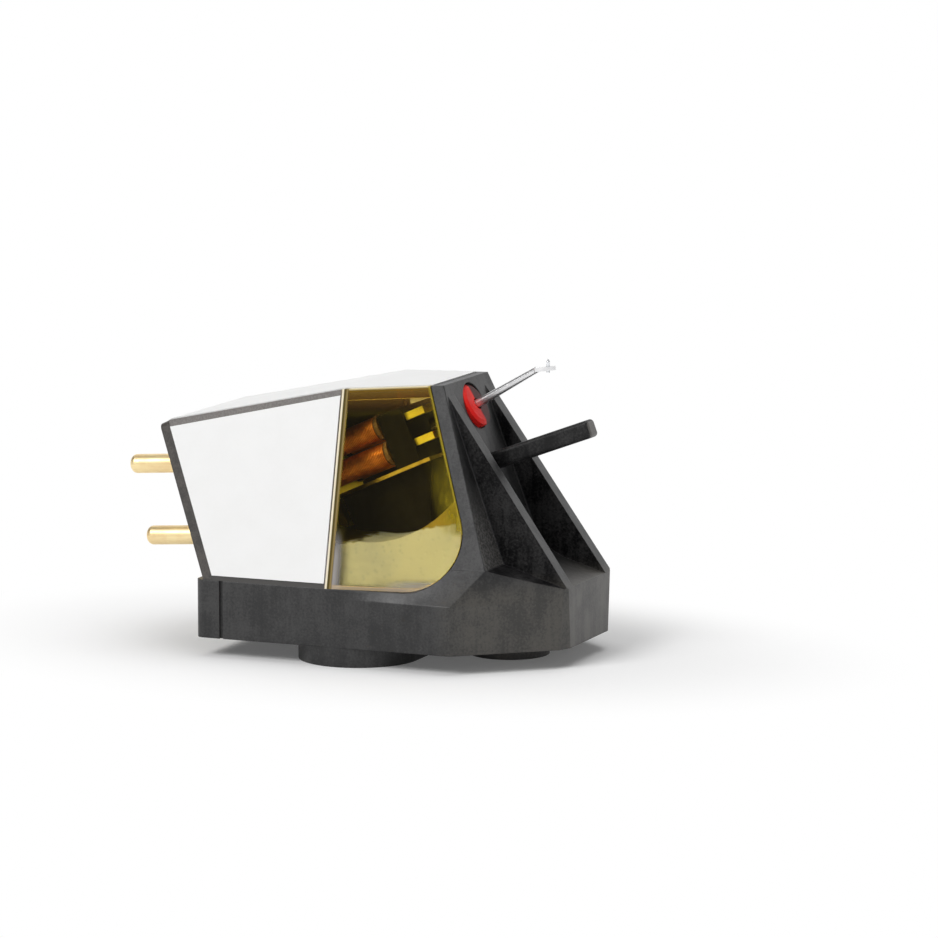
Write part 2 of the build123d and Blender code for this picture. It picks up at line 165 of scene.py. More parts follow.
def show(sheet, result, socket="Surface", output="Material Output"):
    sheet.tree.links.new(result.socket, sheet.tree.nodes[output].inputs[socket])


def mixShaders(sheet, share, first, second):
    return sheet.node("ShaderNodeMixShader", None, {0: share, 1: first, 2: second})


def rays(sheet, *ways):  # 1 for these kinds of ray, 0 for others
    path = sheet.tree.nodes.new("ShaderNodeLightPath")
    return [Tap(sheet.tree, path.outputs[way]) for way in ways]


def place(sheet, scale=(1, 1, 1), turn=(0, 0, 0)):  # where on the object, in units of scale
    spot = sheet.node("ShaderNodeTexCoord", out=3)
    settings = {"vector_type": "TEXTURE"}
    return sheet.node("ShaderNodeMapping", settings, {"Vector": spot, "Rotation": turn, "Scale": scale})


def noise(sheet, spot, size, detail=2.0, rough=0.5, twist=0.0):  # size is one blotch, in metres
    return sheet.node("ShaderNodeTexNoise", None, {
        "Vector": spot, "Scale": 1 / size, "Detail": detail, "Roughness": rough, "Distortion": twist})


def cells(sheet, spot, size, feature="F1"):
    return sheet.node("ShaderNodeTexVoronoi", {"feature": feature}, {"Vector": spot, "Scale": 1 / size})


def bump(sheet, height, depth, strength=1.0, under=None):
    values = {"Height": height, "Distance": depth, "Strength": strength}
    if under is not None:
        values["Normal"] = under
    return sheet.node("ShaderNodeBump", None, values)


def softEdges(sheet, radius, samples=6):
    return sheet.node("ShaderNodeBevel", {"samples": samples}, {"Radius": radius})


def axisOf(sheet, spot, axis):  # 0 along the part, 1 across it, 2 up
    return sheet.node("ShaderNodeSeparateXYZ", None, {0: spot}, axis)


def edgeMask(sheet, rim, least, most):  # 1 where the softened normal leaves the true one
    facing = sheet.node("ShaderNodeNewGeometry", out=1)
    same = sheet.node("ShaderNodeVectorMath", {"operation": "DOT_PRODUCT"}, {0: rim, 1: facing}, 1)
    return (1 - same).over(least, most)


# what the three black plastics share
blackPlastic = {
    "grain": {"detail": 3.0, "rough": 0.65},
    "cloud": {"detail": 3.0, "rough": 0.55, "twist": 0.3},
    "flow": {"size": 1.0, "detail": 3.0, "rough": 0.6},
    "fleck": {"detail": 1.0},
    "fleckOver": (0.64, 0.78),
    "fleckShow": 0.35,
    "fleckHeight": 0.3,
    "toneShares": (0.40, 0.35, 0.25),  # of grain, cloud and flow
    "toneOver": (0.41, 0.61),
    "toneGloss": 0.06,
    "relief": 0.6,
}

plate = {
    "dark": rgb(0.034, 0.030, 0.027),
    "pale": rgb(0.072, 0.063, 0.057),
    "fleck": rgb(0.14, 0.125, 0.115),
    "grainSize": 0.11 * mm,
    "fleckSize": 0.08 * mm,
    "cloudSize": 1.2 * mm,
    "flowSize": (0.5 * mm, 4.0 * mm, 0.5 * mm),
    "grainDepth": 0.008 * mm,
    "roughness": (0.36, 0.24),
    "shine": 0.6,
    "edge": 0.08 * mm,
}

carrier = {
    "dark": rgb(0.0035, 0.0034, 0.003),
    "pale": rgb(0.008, 0.0077, 0.007),
    "fleck": rgb(0.016, 0.016, 0.015),
    "grainSize": 0.12 * mm,
    "fleckSize": 0.09 * mm,
    "cloudSize": 1.0 * mm,
    "flowSize": (0.6 * mm, 0.6 * mm, 3.0 * mm),
    "grainDepth": 0.006 * mm,
    "roughness": (0.48, 0.24),
    "shine": 0.12,
    "edge": 0.08 * mm,
}


def plasticTones(sheet, spot, look):  # tone, flecks, roughness, relief
    grain = noise(sheet, spot, look["grainSize"], **blackPlastic["grain"])
    cloud = noise(sheet, spot, look["cloudSize"], **blackPlastic["cloud"])
    flow = noise(sheet, place(sheet, look["flowSize"]), **blackPlastic["flow"])
    fleck = noise(sheet, spot, look["fleckSize"], **blackPlastic["fleck"]).over(*blackPlastic["fleckOver"])
    ofGrain, ofCloud, ofFlow = blackPlastic["toneShares"]
    tone = (grain * ofGrain + cloud * ofCloud + flow * ofFlow).over(*blackPlastic["toneOver"])
    least, more = look["roughness"]
    roughness = least + grain * more - tone * blackPlastic["toneGloss"]
    height = grain + fleck * blackPlastic["fleckHeight"]
    skin = bump(sheet, height, look["grainDepth"], blackPlastic["relief"], softEdges(sheet, look["edge"]))
    return tone, fleck * blackPlastic["fleckShow"], roughness, skin


def plainBlack(name, look):
    material, shader, sheet = newFinish(name, Specular_IOR_Level=look["shine"])
    tone, fleck, roughness, skin = plasticTones(sheet, place(sheet), look)
    colour = fleck.pick(tone.pick(look["dark"], look["pale"]), look["fleck"])
    feed(sheet, shader, Base_Color=colour, Roughness=roughness, Normal=skin)
    return material


moulding = {
    "dark": rgb(0.0030, 0.0030, 0.0034),
    "pale": rgb(0.0290, 0.0284, 0.0285),
    "fleck": rgb(0.085, 0.082, 0.078),
    "grainSize": 0.15 * mm,
    "fleckSize": 0.07 * mm,
    "cloudSize": 1.9 * mm,
    "flowSize": (0.55 * mm, 0.55 * mm, 7.0 * mm),  # pale flow lines of the filled plastic, upright
    "grainDepth": 0.016 * mm,
    "roughness": (0.36, 0.22),
    "shine": 0.6,
    "edge": 0.11 * mm,
    "level": (0.6, 0.8),  # how far a level face points up
    "ribs": (3.5 * mm, 3.75 * mm),  # outside them the floor gets painted pocket shade and no painted light
    "paintedLight": rgb(0.064, 0.059, 0.050),  # painted light, paler low on the nose
    "paintedLightFrom": (5.2 * mm, 7.8 * mm),
    "paintedLightUnder": (6.0 * mm, 4.4 * mm),
    "paintedLightShares": (0.35, 0.65, 0.4),  # everywhere, on pale tones, on level faces
    "wallFoot": (8.62 * mm, 4.8 * mm),  # where the front wall starts, along and up, and its lean
    "wallLean": 20.4,
    "clear": (0.02 * mm, 0.10 * mm),  # ahead of the wall, and above its foot
    "guardSide": (1.3 * mm, 1.6 * mm),
    "guardRise": (2.0 * mm, 3.0 * mm),
    # share of painted shade on the guard bar's sides
    "guardShadedMatt": 0.6,
    # painted light on the guard bar's end that faces forward
    "guardLitEnd": rgb(0.13, 0.122, 0.112),
    "guardLitEndFacing": (0.5, 0.8),
    "guardLitEndShow": 0.8,
    "pocketFacing": (0.4, 0.5),  # edges that face forward are no part of the pockets
    # shine left in the painted pocket shade
    "pocketShadeShine": 0.10,
    "pebbleSize": 0.24 * mm,
    "pebbleDepth": 0.03 * mm,
    "pebbleRelief": 0.7,
    # painted reflection on the front wall, speckled
    "paintedSheen": rgb(0.155, 0.150, 0.144),
    "sheenNoise": {"size": 0.16 * mm, "detail": 2.0, "rough": 0.6},
    "sheenOver": (0.40, 0.62),
    "sheenShares": (0.15, 0.85),
    "sheenFacing": (0.88, 0.92),
    "sheenSide": (2.7 * mm, 3.0 * mm),
    "sheenFrom": (0.3 * mm, 0.8 * mm),
    "sheenTo": (2.5 * mm, 7.0 * mm),
}


def bodyBlack(name, look):
    material, shader, sheet = newFinish(name, Specular_IOR_Level=look["shine"])
    spot = place(sheet)
    tone, fleck, roughness, skin = plasticTones(sheet, spot, look)
    along, up = axisOf(sheet, spot, 0), axisOf(sheet, spot, 2)
    aside = sheet.node("ShaderNodeMath", {"operation": "ABSOLUTE"}, {0: axisOf(sheet, spot, 1)})
    facing = sheet.node("ShaderNodeNewGeometry", out=3)
    forward = axisOf(sheet, facing, 0)
    level = axisOf(sheet, facing, 2).over(*look["level"])
    between = 1 - aside.over(*look["ribs"])

    # painted light low on the nose and on level faces between the ribs, and flecks all over
    plain, byTone, byLevel = look["paintedLightShares"]
    paintedLightMask = along.over(*look["paintedLightFrom"]) * up.over(*look["paintedLightUnder"])
    paintedLightMask = paintedLightMask * (plain + tone * byTone + level * byLevel) * (1 - level * (1 - between))
    colour = paintedLightMask.pick(tone.pick(look["dark"], look["pale"]), look["paintedLight"])
    colour = fleck.pick(colour, look["fleck"])

    # the guard bar: painted light on its end that faces forward, painted shade (a less shiny shader) on its
    # sides
    wallFrom, footHeight = look["wallFoot"]
    rise = up - footHeight
    ahead = (along - wallFrom + rise * slope(look["wallLean"])).over(*look["clear"])
    pastGuard = aside.over(*look["guardSide"])
    guard = ahead * rise.over(*look["guardRise"]) * (1 - pastGuard)
    litEnd = forward.over(*look["guardLitEndFacing"])
    colour = (guard * litEnd * look["guardLitEndShow"]).pick(colour, look["guardLitEnd"])

    # painted shade in the pockets round the ribs, by a less shiny shader, and pebbled bumps there
    pocket = ahead * rise.over(*look["clear"]) * pastGuard
    pocket = pocket * (1 - level * between) * (1 - forward.over(*look["pocketFacing"]))
    pebble = cells(sheet, spot, look["pebbleSize"], "SMOOTH_F1") * pocket
    skin = bump(sheet, pebble, look["pebbleDepth"], look["pebbleRelief"], skin)

    # painted reflection, speckled, on the front wall beside the ribs
    least, more = look["sheenShares"]
    paintedSheen = least + noise(sheet, spot, **look["sheenNoise"]).over(*look["sheenOver"]) * more
    strip = forward.over(*look["sheenFacing"]) * aside.over(*look["sheenSide"])
    strip = strip * rise.over(*look["sheenFrom"]) * (1 - rise.over(*look["sheenTo"]))
    colour = (strip * paintedSheen).pick(colour, look["paintedSheen"])

    feed(sheet, shader, Base_Color=colour, Roughness=roughness, Normal=skin)
    # painted shade: the same colour with less shine, in the pockets and on the guard bar's sides
    shadedMatt = sheet.node("ShaderNodeBsdfPrincipled", None, {
        "Specular IOR Level": look["pocketShadeShine"], "Base Color": colour,
        "Roughness": roughness, "Normal": skin})
    shadedMattShare = pocket.most(guard * (1 - litEnd) * look["guardShadedMatt"])
    show(sheet, mixShaders(sheet, shadedMattShare, Tap(sheet.tree, shader.outputs[0]), shadedMatt))
    return material


tintedCover = {
    "bending": 1.49,
    "absorb": (45.0, 210.0, 1050.0),  # per metre of plastic, red green blue
    "shade": rgb(0.95, 0.94, 0.92),  # of the light that passes to the coils
    "smear": {"size": 2.6 * mm, "detail": 4.0, "rough": 0.55, "twist": 0.6},
    "smearOver": (0.4, 0.75),
    "roughness": (0.01, 0.03, 0.3),  # plain, on smears, on edges
    "wave": {"size": 0.55 * mm, "detail": 1.0},
    "waveDepth": 0.0006 * mm,
    "edge": 0.07 * mm,
    "edgeTurn": (0.0006, 0.004),
    # painted glint on the cover's edges, gold and metallic
    "edgeGlint": rgb(0.72, 0.56, 0.16),
    "edgeGlintMetal": 0.8,
    "foot": 4.8 * mm,  # crease and front edge lean from this height
    "crease": -1.5 * mm,  # behind it the plastic is keyed for the labels
    "creaseLean": 2.1,
    # the keyed greys stand for frosted plastic and painted reflection
    "keyed": rgb(0.13, 0.118, 0.108),
    "keyedPale": rgb(0.19, 0.175, 0.165),
    # painted shade at the foot of the keyed band
    "keyedShadedFoot": rgb(0.030, 0.027, 0.024),
    "keyedRise": (5.2 * mm, 5.6 * mm),
    "keyedRoughness": (0.35, 0.2),
    "keyedUpTo": (-0.06, -0.02),  # in widths of the band along the crease
    "grain": {"size": 0.12 * mm, "detail": 3.0},
    "grainOver": (0.3, 0.7),
}

# Light caught in the cover's edges, its crease and its thickness.
caught = {
    "roughness": (0.22, 0.2),
    "shine": 0.1,
    "crease": [  # across the crease, over one band's width
        (0.00, rgb(0.030, 0.025, 0.020)), (0.06, rgb(0.92, 0.84, 0.66)), (0.20, rgb(0.90, 0.80, 0.58)),
        (0.28, rgb(0.085, 0.060, 0.012)), (0.44, rgb(0.095, 0.068, 0.014)), (0.54, rgb(0.30, 0.22, 0.09)),
        (0.66, rgb(0.24, 0.17, 0.05)), (0.76, rgb(0.03, 0.02, 0.003))],
    "creaseBand": 0.6 * mm,
    "creaseStart": 0.14 * mm,  # the band begins this far behind the crease
    "creaseFrom": (-0.02, 0.02),
    "creaseTo": (0.62, 0.82),
    "top": [
        (0.00, rgb(0.85, 0.78, 0.58)), (0.035, rgb(0.62, 0.50, 0.24)), (0.065, rgb(0.22, 0.125, 0.012)),
        (0.30, rgb(0.125, 0.058, 0.003)), (1.00, rgb(0.03, 0.016, 0.001))],
    "topHeight": 16.665 * mm,  # of the top edge over the middle, and its rise towards the front
    "topRise": 3.4,
    "topBand": 1.8 * mm,
    "topFull": 0.4 * mm,
    "topShow": 0.75,
    "topOver": (0.02, 0.3),
    "front": rgb(0.30, 0.225, 0.003),
    "frontFoot": 7.8 * mm,
    "frontLean": 20.4,
    "frontReach": (0.15 * mm, 1.7 * mm),
    "frontFrom": (8.0 * mm, 8.6 * mm),
    "frontTo": (9.6 * mm, 13.5 * mm),
    "streak": {"size": 1.0, "detail": 2.0},
    "streakSize": (0.35 * mm, 0.35 * mm, 3.0 * mm),
    "streakOver": (0.3, 0.7),
    "streakShares": (0.42, 0.5),
    "edge": rgb(0.42, 0.32, 0.02),
    "edgeReach": (0.10 * mm, 0.26 * mm),
    "edgeShow": 0.8,
    "foot": rgb(0.55, 0.42, 0.28),
    "footHeights": (4.98 * mm, 5.10 * mm),
    "footShow": 0.85,
    "haze": rgb(0.40, 0.375, 0.36),  # seen in the cover's thickness, low down
    "hazeBeside": (0.30 * mm, 1.0 * mm),
    "hazeTop": (6.4 * mm, 8.8 * mm),
    "hazeUnder": (5.15 * mm, 5.65 * mm),
    "hazeAlong": (1.0 * mm, 4.0 * mm),
    "hazeUnderShow": 0.7,
    "hazeShow": 0.85,
    "hazeOver": (0.0, 0.3),
}


def clearPlastic(sheet, shader, spot, look):
    smear = noise(sheet, spot, **look["smear"]).over(*look["smearOver"])
    wave = noise(sheet, spot, **look["wave"])
    rim = softEdges(sheet, look["edge"])
    edge = edgeMask(sheet, rim, *look["edgeTurn"])
    plain, bySmear, byEdge = look["roughness"]
    # painted glint: the softened edges turn gold and metallic
    feed(sheet, shader, Roughness=plain + smear * bySmear + edge * byEdge, Metallic=edge * look["edgeGlintMetal"],
         Base_Color=edge.pick(plainWhite, look["edgeGlint"]),
         Normal=bump(sheet, wave, look["waveDepth"], under=rim))
    density = max(look["absorb"])
    tint = [1 - a / density for a in look["absorb"]] + [1]
    body = sheet.node("ShaderNodeVolumeAbsorption", None, {"Color": tint, "Density": density})
    show(sheet, body, "Volume")
    # light reaches the coils through the plastic, already tinted
    passing = rays(sheet, "Is Shadow Ray")[0]
    through = sheet.node("ShaderNodeBsdfTransparent", None, {"Color": look["shade"]})
    return mixShaders(sheet, passing, Tap(sheet.tree, shader.outputs[0]), through)


def caughtLight(sheet, along, up, past, acrossCrease, look):  # its colour, and the mask of where it shows
    under = along * slope(look["topRise"]) + look["topHeight"] - up
    inward = look["frontFoot"] - (up - tintedCover["foot"]) * slope(look["frontLean"]) - along
    onCrease = sheet.node("ShaderNodeValToRGB", {"stops": look["crease"]}, {0: acrossCrease})
    onTop = sheet.node("ShaderNodeValToRGB", {"stops": look["top"]}, {0: under / look["topBand"]})

    atCrease = acrossCrease.over(*look["creaseFrom"]) * (1 - acrossCrease.over(*look["creaseTo"]))
    atTop = 1 - under.over(look["topFull"], look["topBand"])
    atEdge = (1 - inward.over(*look["edgeReach"])) * look["edgeShow"]
    atFoot = (1 - up.over(*look["footHeights"])) * look["footShow"]

    least, more = look["streakShares"]
    streaks = noise(sheet, place(sheet, look["streakSize"]), **look["streak"]).over(*look["streakOver"])
    atFront = (1 - inward.over(*look["frontReach"])) * up.over(*look["frontFrom"])
    atFront = atFront * (1 - up.over(*look["frontTo"])) * (least + streaks * more)

    beside = (1 - past.over(*look["hazeBeside"])) * (1 - up.over(*look["hazeTop"]))
    below = (1 - up.over(*look["hazeUnder"])) * along.over(*look["hazeAlong"])
    atHaze = beside.most(below * look["hazeUnderShow"]) * look["hazeShow"]

    colour = atHaze.over(*look["hazeOver"]).pick(look["front"], look["haze"])
    colour = atFoot.pick(colour, look["foot"])
    colour = atTop.over(*look["topOver"]).pick(colour, onTop)
    colour = atEdge.pick(colour, look["edge"])
    colour = atCrease.pick(colour, onCrease)
    return colour, atCrease.most(atTop * look["topShow"], atFront, atFoot, atEdge, atHaze)


def clearYellow(name, look):
    material, shader, sheet = newFinish(name, IOR=look["bending"], Transmission_Weight=1.0)
    spot = place(sheet)
    along, up = axisOf(sheet, spot, 0), axisOf(sheet, spot, 2)
    grain = noise(sheet, spot, **look["grain"])
    past = along + (up - look["foot"]) * slope(look["creaseLean"]) - look["crease"]
    acrossCrease = (past + caught["creaseStart"]) / caught["creaseBand"]
    clear = clearPlastic(sheet, shader, spot, look)

    least, more = caught["roughness"]
    light, lightMask = caughtLight(sheet, along, up, past, acrossCrease, caught)
    lit = sheet.node("ShaderNodeBsdfPrincipled", None, {
        "Base Color": light, "Roughness": least + grain * more, "Specular IOR Level": caught["shine"]})
    outside = 1 - sheet.node("ShaderNodeNewGeometry", out=6)  # not on the cover's inner faces
    window = mixShaders(sheet, lightMask * outside, clear, lit)

    least, more = look["keyedRoughness"]
    # frosted plastic with painted reflection, darker at the foot for painted shade
    reflectionGrey = grain.over(*look["grainOver"]).pick(look["keyed"], look["keyedPale"])
    reflectionGrey = up.over(*look["keyedRise"]).pick(look["keyedShadedFoot"], reflectionGrey)
    keyed = sheet.node("ShaderNodeBsdfPrincipled", None, {
        "Base Color": reflectionGrey, "Roughness": least + grain * more})
    show(sheet, mixShaders(sheet, 1 - acrossCrease.over(*look["keyedUpTo"]), window, keyed))
    return material


film = {
    "white": rgb(0.90, 0.90, 0.895),
    "shade": rgb(0.88, 0.88, 0.872),
    "fibre": {"size": 0.16 * mm, "detail": 4.0, "rough": 0.6},
    "cloud": {"size": 2.2 * mm, "detail": 2.0},
    "shares": (0.7, 0.3),  # of cloud and fibre
    "shadeOver": (0.35, 0.7),
    "roughness": (0.42, 0.15),
    "shine": 0.4,
    "depth": 0.003 * mm,
    "relief": 0.6,
}


def whiteFilm(name, look):
    material, shader, sheet = newFinish(name, Specular_IOR_Level=look["shine"])
    spot = place(sheet)
    fibre = noise(sheet, spot, **look["fibre"])
    cloud = noise(sheet, spot, **look["cloud"])
    ofCloud, ofFibre = look["shares"]
    shade = (cloud * ofCloud + fibre * ofFibre).over(*look["shadeOver"])
    least, more = look["roughness"]
    feed(sheet, shader, Base_Color=shade.pick(look["white"], look["shade"]), Roughness=least + fibre * more,
         Normal=bump(sheet, fibre, look["depth"], look["relief"]))
    return material


# what the metals share
drawn = {
    "streak": {"size": 1.0, "detail": 3.0},
    "cloud": {"size": 0.9 * mm, "detail": 3.0},
    "shares": (0.6, 0.4),  # of cloud and streak
    "dullOver": (0.35, 0.68),
    "roughness": (0.14, 0.08),  # added by streak and cloud
    "relief": 0.5,
}

goldPlating = {
    "bright": rgb(0.97, 0.80, 0.45),
    "dull": rgb(0.87, 0.65, 0.35),
    "roughness": 0.32,
    "metal": 1.0,
    "drawLength": 2.0 * mm,
    "drawWidth": 0.05 * mm,
    "depth": 0.002 * mm,
    "lean": 4.0,  # the pins droop by this many degrees
}

aluminium = {
    "bright": rgb(0.88, 0.88, 0.885),
    "dull": rgb(0.74, 0.74, 0.75),
    "roughness": 0.20,
    "metal": 1.0,
    "drawLength": 3.0 * mm,
    "drawWidth": 0.06 * mm,
    "depth": 0.0005 * mm,
    "lean": 30.4,
}

poleMetal = {
    "bright": rgb(0.99, 0.91, 0.17),
    "dull": rgb(0.90, 0.76, 0.11),
    "roughness": 0.30,
    "metal": 1.0,
    "drawLength": 1.6 * mm,
    "drawWidth": 0.09 * mm,
    "depth": 0.004 * mm,
    "lean": 24.0,
}

screenMetal = {
    "bright": rgb(0.72, 0.58, 0.18),
    "dull": rgb(0.46, 0.35, 0.09),
    "roughness": 0.12,
    "metal": 1.0,
    "drawLength": 2.4 * mm,
    "drawWidth": 0.05 * mm,
    "depth": 0.003 * mm,
    "lean": 24.0,
}

magnetMetal = {
    "bright": rgb(0.72, 0.70, 0.66),
    "dull": rgb(0.55, 0.53, 0.50),
    "roughness": 0.12,
    "metal": 1.0,
    "drawLength": 0.3 * mm,
    "drawWidth": 0.08 * mm,
    "depth": 0.003 * mm,
    "lean": 30.4,
}

collarBrass = {
    "bright": rgb(0.86, 0.66, 0.30),
    "dull": rgb(0.62, 0.44, 0.18),
    "roughness": 0.12,
    "metal": 1.0,
    "drawLength": 0.06 * mm,  # turned, so the lines run round
    "drawWidth": 0.4 * mm,
    "depth": 0.003 * mm,
    "lean": 30.4,
}

wireCopper = {
    "bright": rgb(0.93, 0.38, 0.11),
    "dull": rgb(0.56, 0.18, 0.04),
    "roughness": 0.24,
    "metal": 0.8,
    "drawLength": 0.4 * mm,
    "drawWidth": 0.12 * mm,
    "depth": 0.002 * mm,
    "lean": 24.0,
}


def drawnMetal(name, look):
    material, shader, sheet = newFinish(name, Metallic=look["metal"])
    length, width = look["drawLength"], look["drawWidth"]
    lines = place(sheet, (length, width, width), (0, math.radians(-look["lean"]), 0))
    streak = noise(sheet, lines, **drawn["streak"])
    cloud = noise(sheet, place(sheet), **drawn["cloud"])
    ofCloud, ofStreak = drawn["shares"]
    dull = (cloud * ofCloud + streak * ofStreak).over(*drawn["dullOver"])
    byStreak, byCloud = drawn["roughness"]
    feed(sheet, shader, Base_Color=dull.pick(look["bright"], look["dull"]),
         Roughness=look["roughness"] + streak * byStreak + cloud * byCloud,
         Normal=bump(sheet, streak, look["depth"], drawn["relief"]))
    return material


elastomer = {
    "deep": rgb(0.84, 0.010, 0.008),
    "bright": rgb(0.98, 0.030, 0.020),
    "dark": rgb(0.055, 0.006, 0.006),  # painted shade on its left half
    "split": (-0.16 * mm, 0.10 * mm),
    "grain": {"size": 0.07 * mm, "detail": 3.0, "rough": 0.6},
    "cloud": {"size": 0.7 * mm, "detail": 2.0},
    "shares": (0.7, 0.3),  # of cloud and grain
    "brightOver": (0.3, 0.7),
    "roughness": (0.38, 0.2),
    "shine": 0.22,
    "glow": 0.15,  # share of the light that spreads inside, and how far
    "glowReach": 0.2 * mm,
    "depth": 0.004 * mm,
    "relief": 0.6,
}


def redRubber(name, look):
    material, shader, sheet = newFinish(name, Specular_IOR_Level=look["shine"],
                                        Subsurface_Weight=look["glow"], Subsurface_Scale=look["glowReach"])
    spot = place(sheet)
    grain = noise(sheet, spot, **look["grain"])
    cloud = noise(sheet, spot, **look["cloud"])
    ofCloud, ofGrain = look["shares"]
    red = (cloud * ofCloud + grain * ofGrain).over(*look["brightOver"]).pick(look["deep"], look["bright"])
    # painted shade: the left half dark
    colour = axisOf(sheet, spot, 1).over(*look["split"]).pick(red, look["dark"])
    least, more = look["roughness"]
    feed(sheet, shader, Base_Color=colour, Roughness=least + grain * more,
         Normal=bump(sheet, grain, look["depth"], look["relief"]))
    return material


marks = {
    "red": rgb(0.62, 0.025, 0.02),
    "green": rgb(0.02, 0.30, 0.07),
    "white": rgb(0.80, 0.80, 0.79),
    "blue": rgb(0.025, 0.09, 0.50),
    "shade": 0.7,
    "grain": {"size": 0.1 * mm, "detail": 3.0},
    "grainOver": (0.3, 0.7),
    "roughness": (0.32, 0.2),
    "shine": 0.5,
    "depth": 0.004 * mm,
    "relief": 0.5,
}

bobbin = {
    "dark": rgb(0.10, 0.055, 0.03),
    "pale": rgb(0.16, 0.09, 0.05),
    "grain": {"size": 0.1 * mm, "detail": 3.0},
    "grainOver": (0.3, 0.7),
    "roughness": (0.4, 0.2),
    "shine": 0.5,
    "depth": 0.005 * mm,
    "relief": 0.5,
}


def grained(name, first, second, look):
    material, shader, sheet = newFinish(name, Specular_IOR_Level=look["shine"])
    grain = noise(sheet, place(sheet), **look["grain"])
    least, more = look["roughness"]
    feed(sheet, shader, Base_Color=grain.over(*look["grainOver"]).pick(first, second),
         Roughness=least + grain * more, Normal=bump(sheet, grain, look["depth"], look["relief"]))
    return material


def paintedMark(name, colour):
    return grained(name, colour, dimmed(colour, marks["shade"]), marks)


resin = {
    "pale": rgb(0.42, 0.51, 0.98),  # looks beige through the yellow cover
    "shade": rgb(0.29, 0.37, 0.88),
    "shares": (0.8, 0.2, 0.3),  # of cloud and pits in the shade, and what the front takes off
    "shadeOver": (0.1, 0.65),
    "paleOver": (0.5 * mm, 5.0 * mm),
    # painted glow on its top, towards the front wall
    "paintedGlow": rgb(0.24, 0.190, 0.002),
    "gloom": rgb(0.022, 0.020, 0.004),  # painted shade on its top, away from the front wall
    "paintedGlowOver": (2.6 * mm, 4.4 * mm),
    "paintedTopFrom": (7.41 * mm, 7.61 * mm),
    "paintedTopRise": 0.204,
    "paintedGlowShares": (0.55, 0.6),
    "ragged": {"size": 0.5 * mm, "detail": 3.0},
    "raggedBy": 0.5 * mm,
    "cloud": {"size": 2.4 * mm, "detail": 4.0, "rough": 0.6, "twist": 0.4},
    "pitSize": 0.35 * mm,
    "pitOver": (0.0, 0.45),
    "pitHeight": 0.25,
    "roughness": (0.3, 0.25),
    "shine": 0.5,
    "depth": 0.05 * mm,
    "relief": 0.6,
}


def curedResin(name, look):
    material, shader, sheet = newFinish(name, Specular_IOR_Level=look["shine"])
    spot = place(sheet)
    along, up = axisOf(sheet, spot, 0), axisOf(sheet, spot, 2)
    cloud = noise(sheet, spot, **look["cloud"])
    pits = cells(sheet, spot, look["pitSize"]).over(*look["pitOver"])
    ofCloud, ofPits, atFront = look["shares"]
    shade = cloud * ofCloud + (1 - pits) * ofPits - along.over(*look["paleOver"]) * atFront
    lower = shade.over(*look["shadeOver"]).pick(look["pale"], look["shade"])
    # painted shade and painted glow above the ragged line
    least, more = look["paintedGlowShares"]
    upper = (along.over(*look["paintedGlowOver"]) * (least + cloud * more)).pick(look["gloom"], look["paintedGlow"])
    ragged = (noise(sheet, spot, **look["ragged"]) - 0.5) * look["raggedBy"]  # either way of the middle
    climb = up - along * look["paintedTopRise"] + ragged
    least, more = look["roughness"]
    feed(sheet, shader, Base_Color=climb.over(*look["paintedTopFrom"]).pick(lower, upper),
         Roughness=least + cloud * more,
         Normal=bump(sheet, cloud + pits * look["pitHeight"], look["depth"], look["relief"]))
    return material


diamond = {
    "clear": rgb(0.95, 0.96, 0.98),
    "cloudy": rgb(0.80, 0.83, 0.87),
    "grain": {"size": 0.05 * mm, "detail": 2.0},
    "roughness": (0.02, 0.06),
    "bending": 2.4,
    "passing": 0.85,
    "shine": 0.5,
}


def clearDiamond(name, look):
    material, shader, sheet = newFinish(name, IOR=look["bending"], Transmission_Weight=look["passing"],
                                        Specular_IOR_Level=look["shine"])
    grain = noise(sheet, place(sheet), **look["grain"])
    least, more = look["roughness"]
    feed(sheet, shader, Base_Color=grain.pick(look["clear"], look["cloudy"]), Roughness=least + grain * more)
    return material


finishes = {
    "body_black": bodyBlack("filledMoulding", moulding),
    "cover_yellow": clearYellow("tintedClearPlastic", tintedCover),
    "label_white": whiteFilm("whiteFilm", film),
    "plate_black": plainBlack("terminalPlastic", plate),
    "pin_gold": drawnMetal("goldPlating", goldPlating),
    "mark_red": paintedMark("redMark", marks["red"]),
    "mark_green": paintedMark("greenMark", marks["green"]),
    "mark_white": paintedMark("whiteMark", marks["white"]),
    "mark_blue": paintedMark("blueMark", marks["blue"]),
    "damper_red": redRubber("redElastomer", elastomer),
    "arm_aluminium": drawnMetal("drawnAluminium", aluminium),
    "diamond": clearDiamond("diamondTip", diamond),
    "magnet_nickel": drawnMetal("platedMagnet", magnetMetal),
    "collar_brass": drawnMetal("turnedBrass", collarBrass),
    "winding_copper": drawnMetal("enamelledCopper", wireCopper),
    "bobbin_brown": grained("bobbinMoulding", bobbin["dark"], bobbin["pale"], bobbin),
    "pole_nickel": drawnMetal("poleLamination", poleMetal),
    "screen_nickel": drawnMetal("screenSheet", screenMetal),
    "carrier_black": plainBlack("carrierMoulding", carrier),
    "potting_pale": curedResin("pottingResin", resin),
    "lead_copper": drawnMetal("leadEnamel", wireCopper),
}

for sub in frame["record"]["subparts"]:
    for slot in nodes[sub["node"]].material_slots:
        slot.material = finishes[sub["material_slot"]]
print("finishes on nodes:", len(finishes))


# Turns of fine wire on each bobbin, in place of the plain copper ring.
coils = {
    "wire": 0.05 * mm,
    "turns": 40,
    "sidesPerTurn": 28,
    "sidesOfWire": 6,
    "lean": 24.0,
}


def addObject(name, data):
    made = bpy.data.objects.new(name, data)
    bpy.context.scene.collection.objects.link(made)
    return made


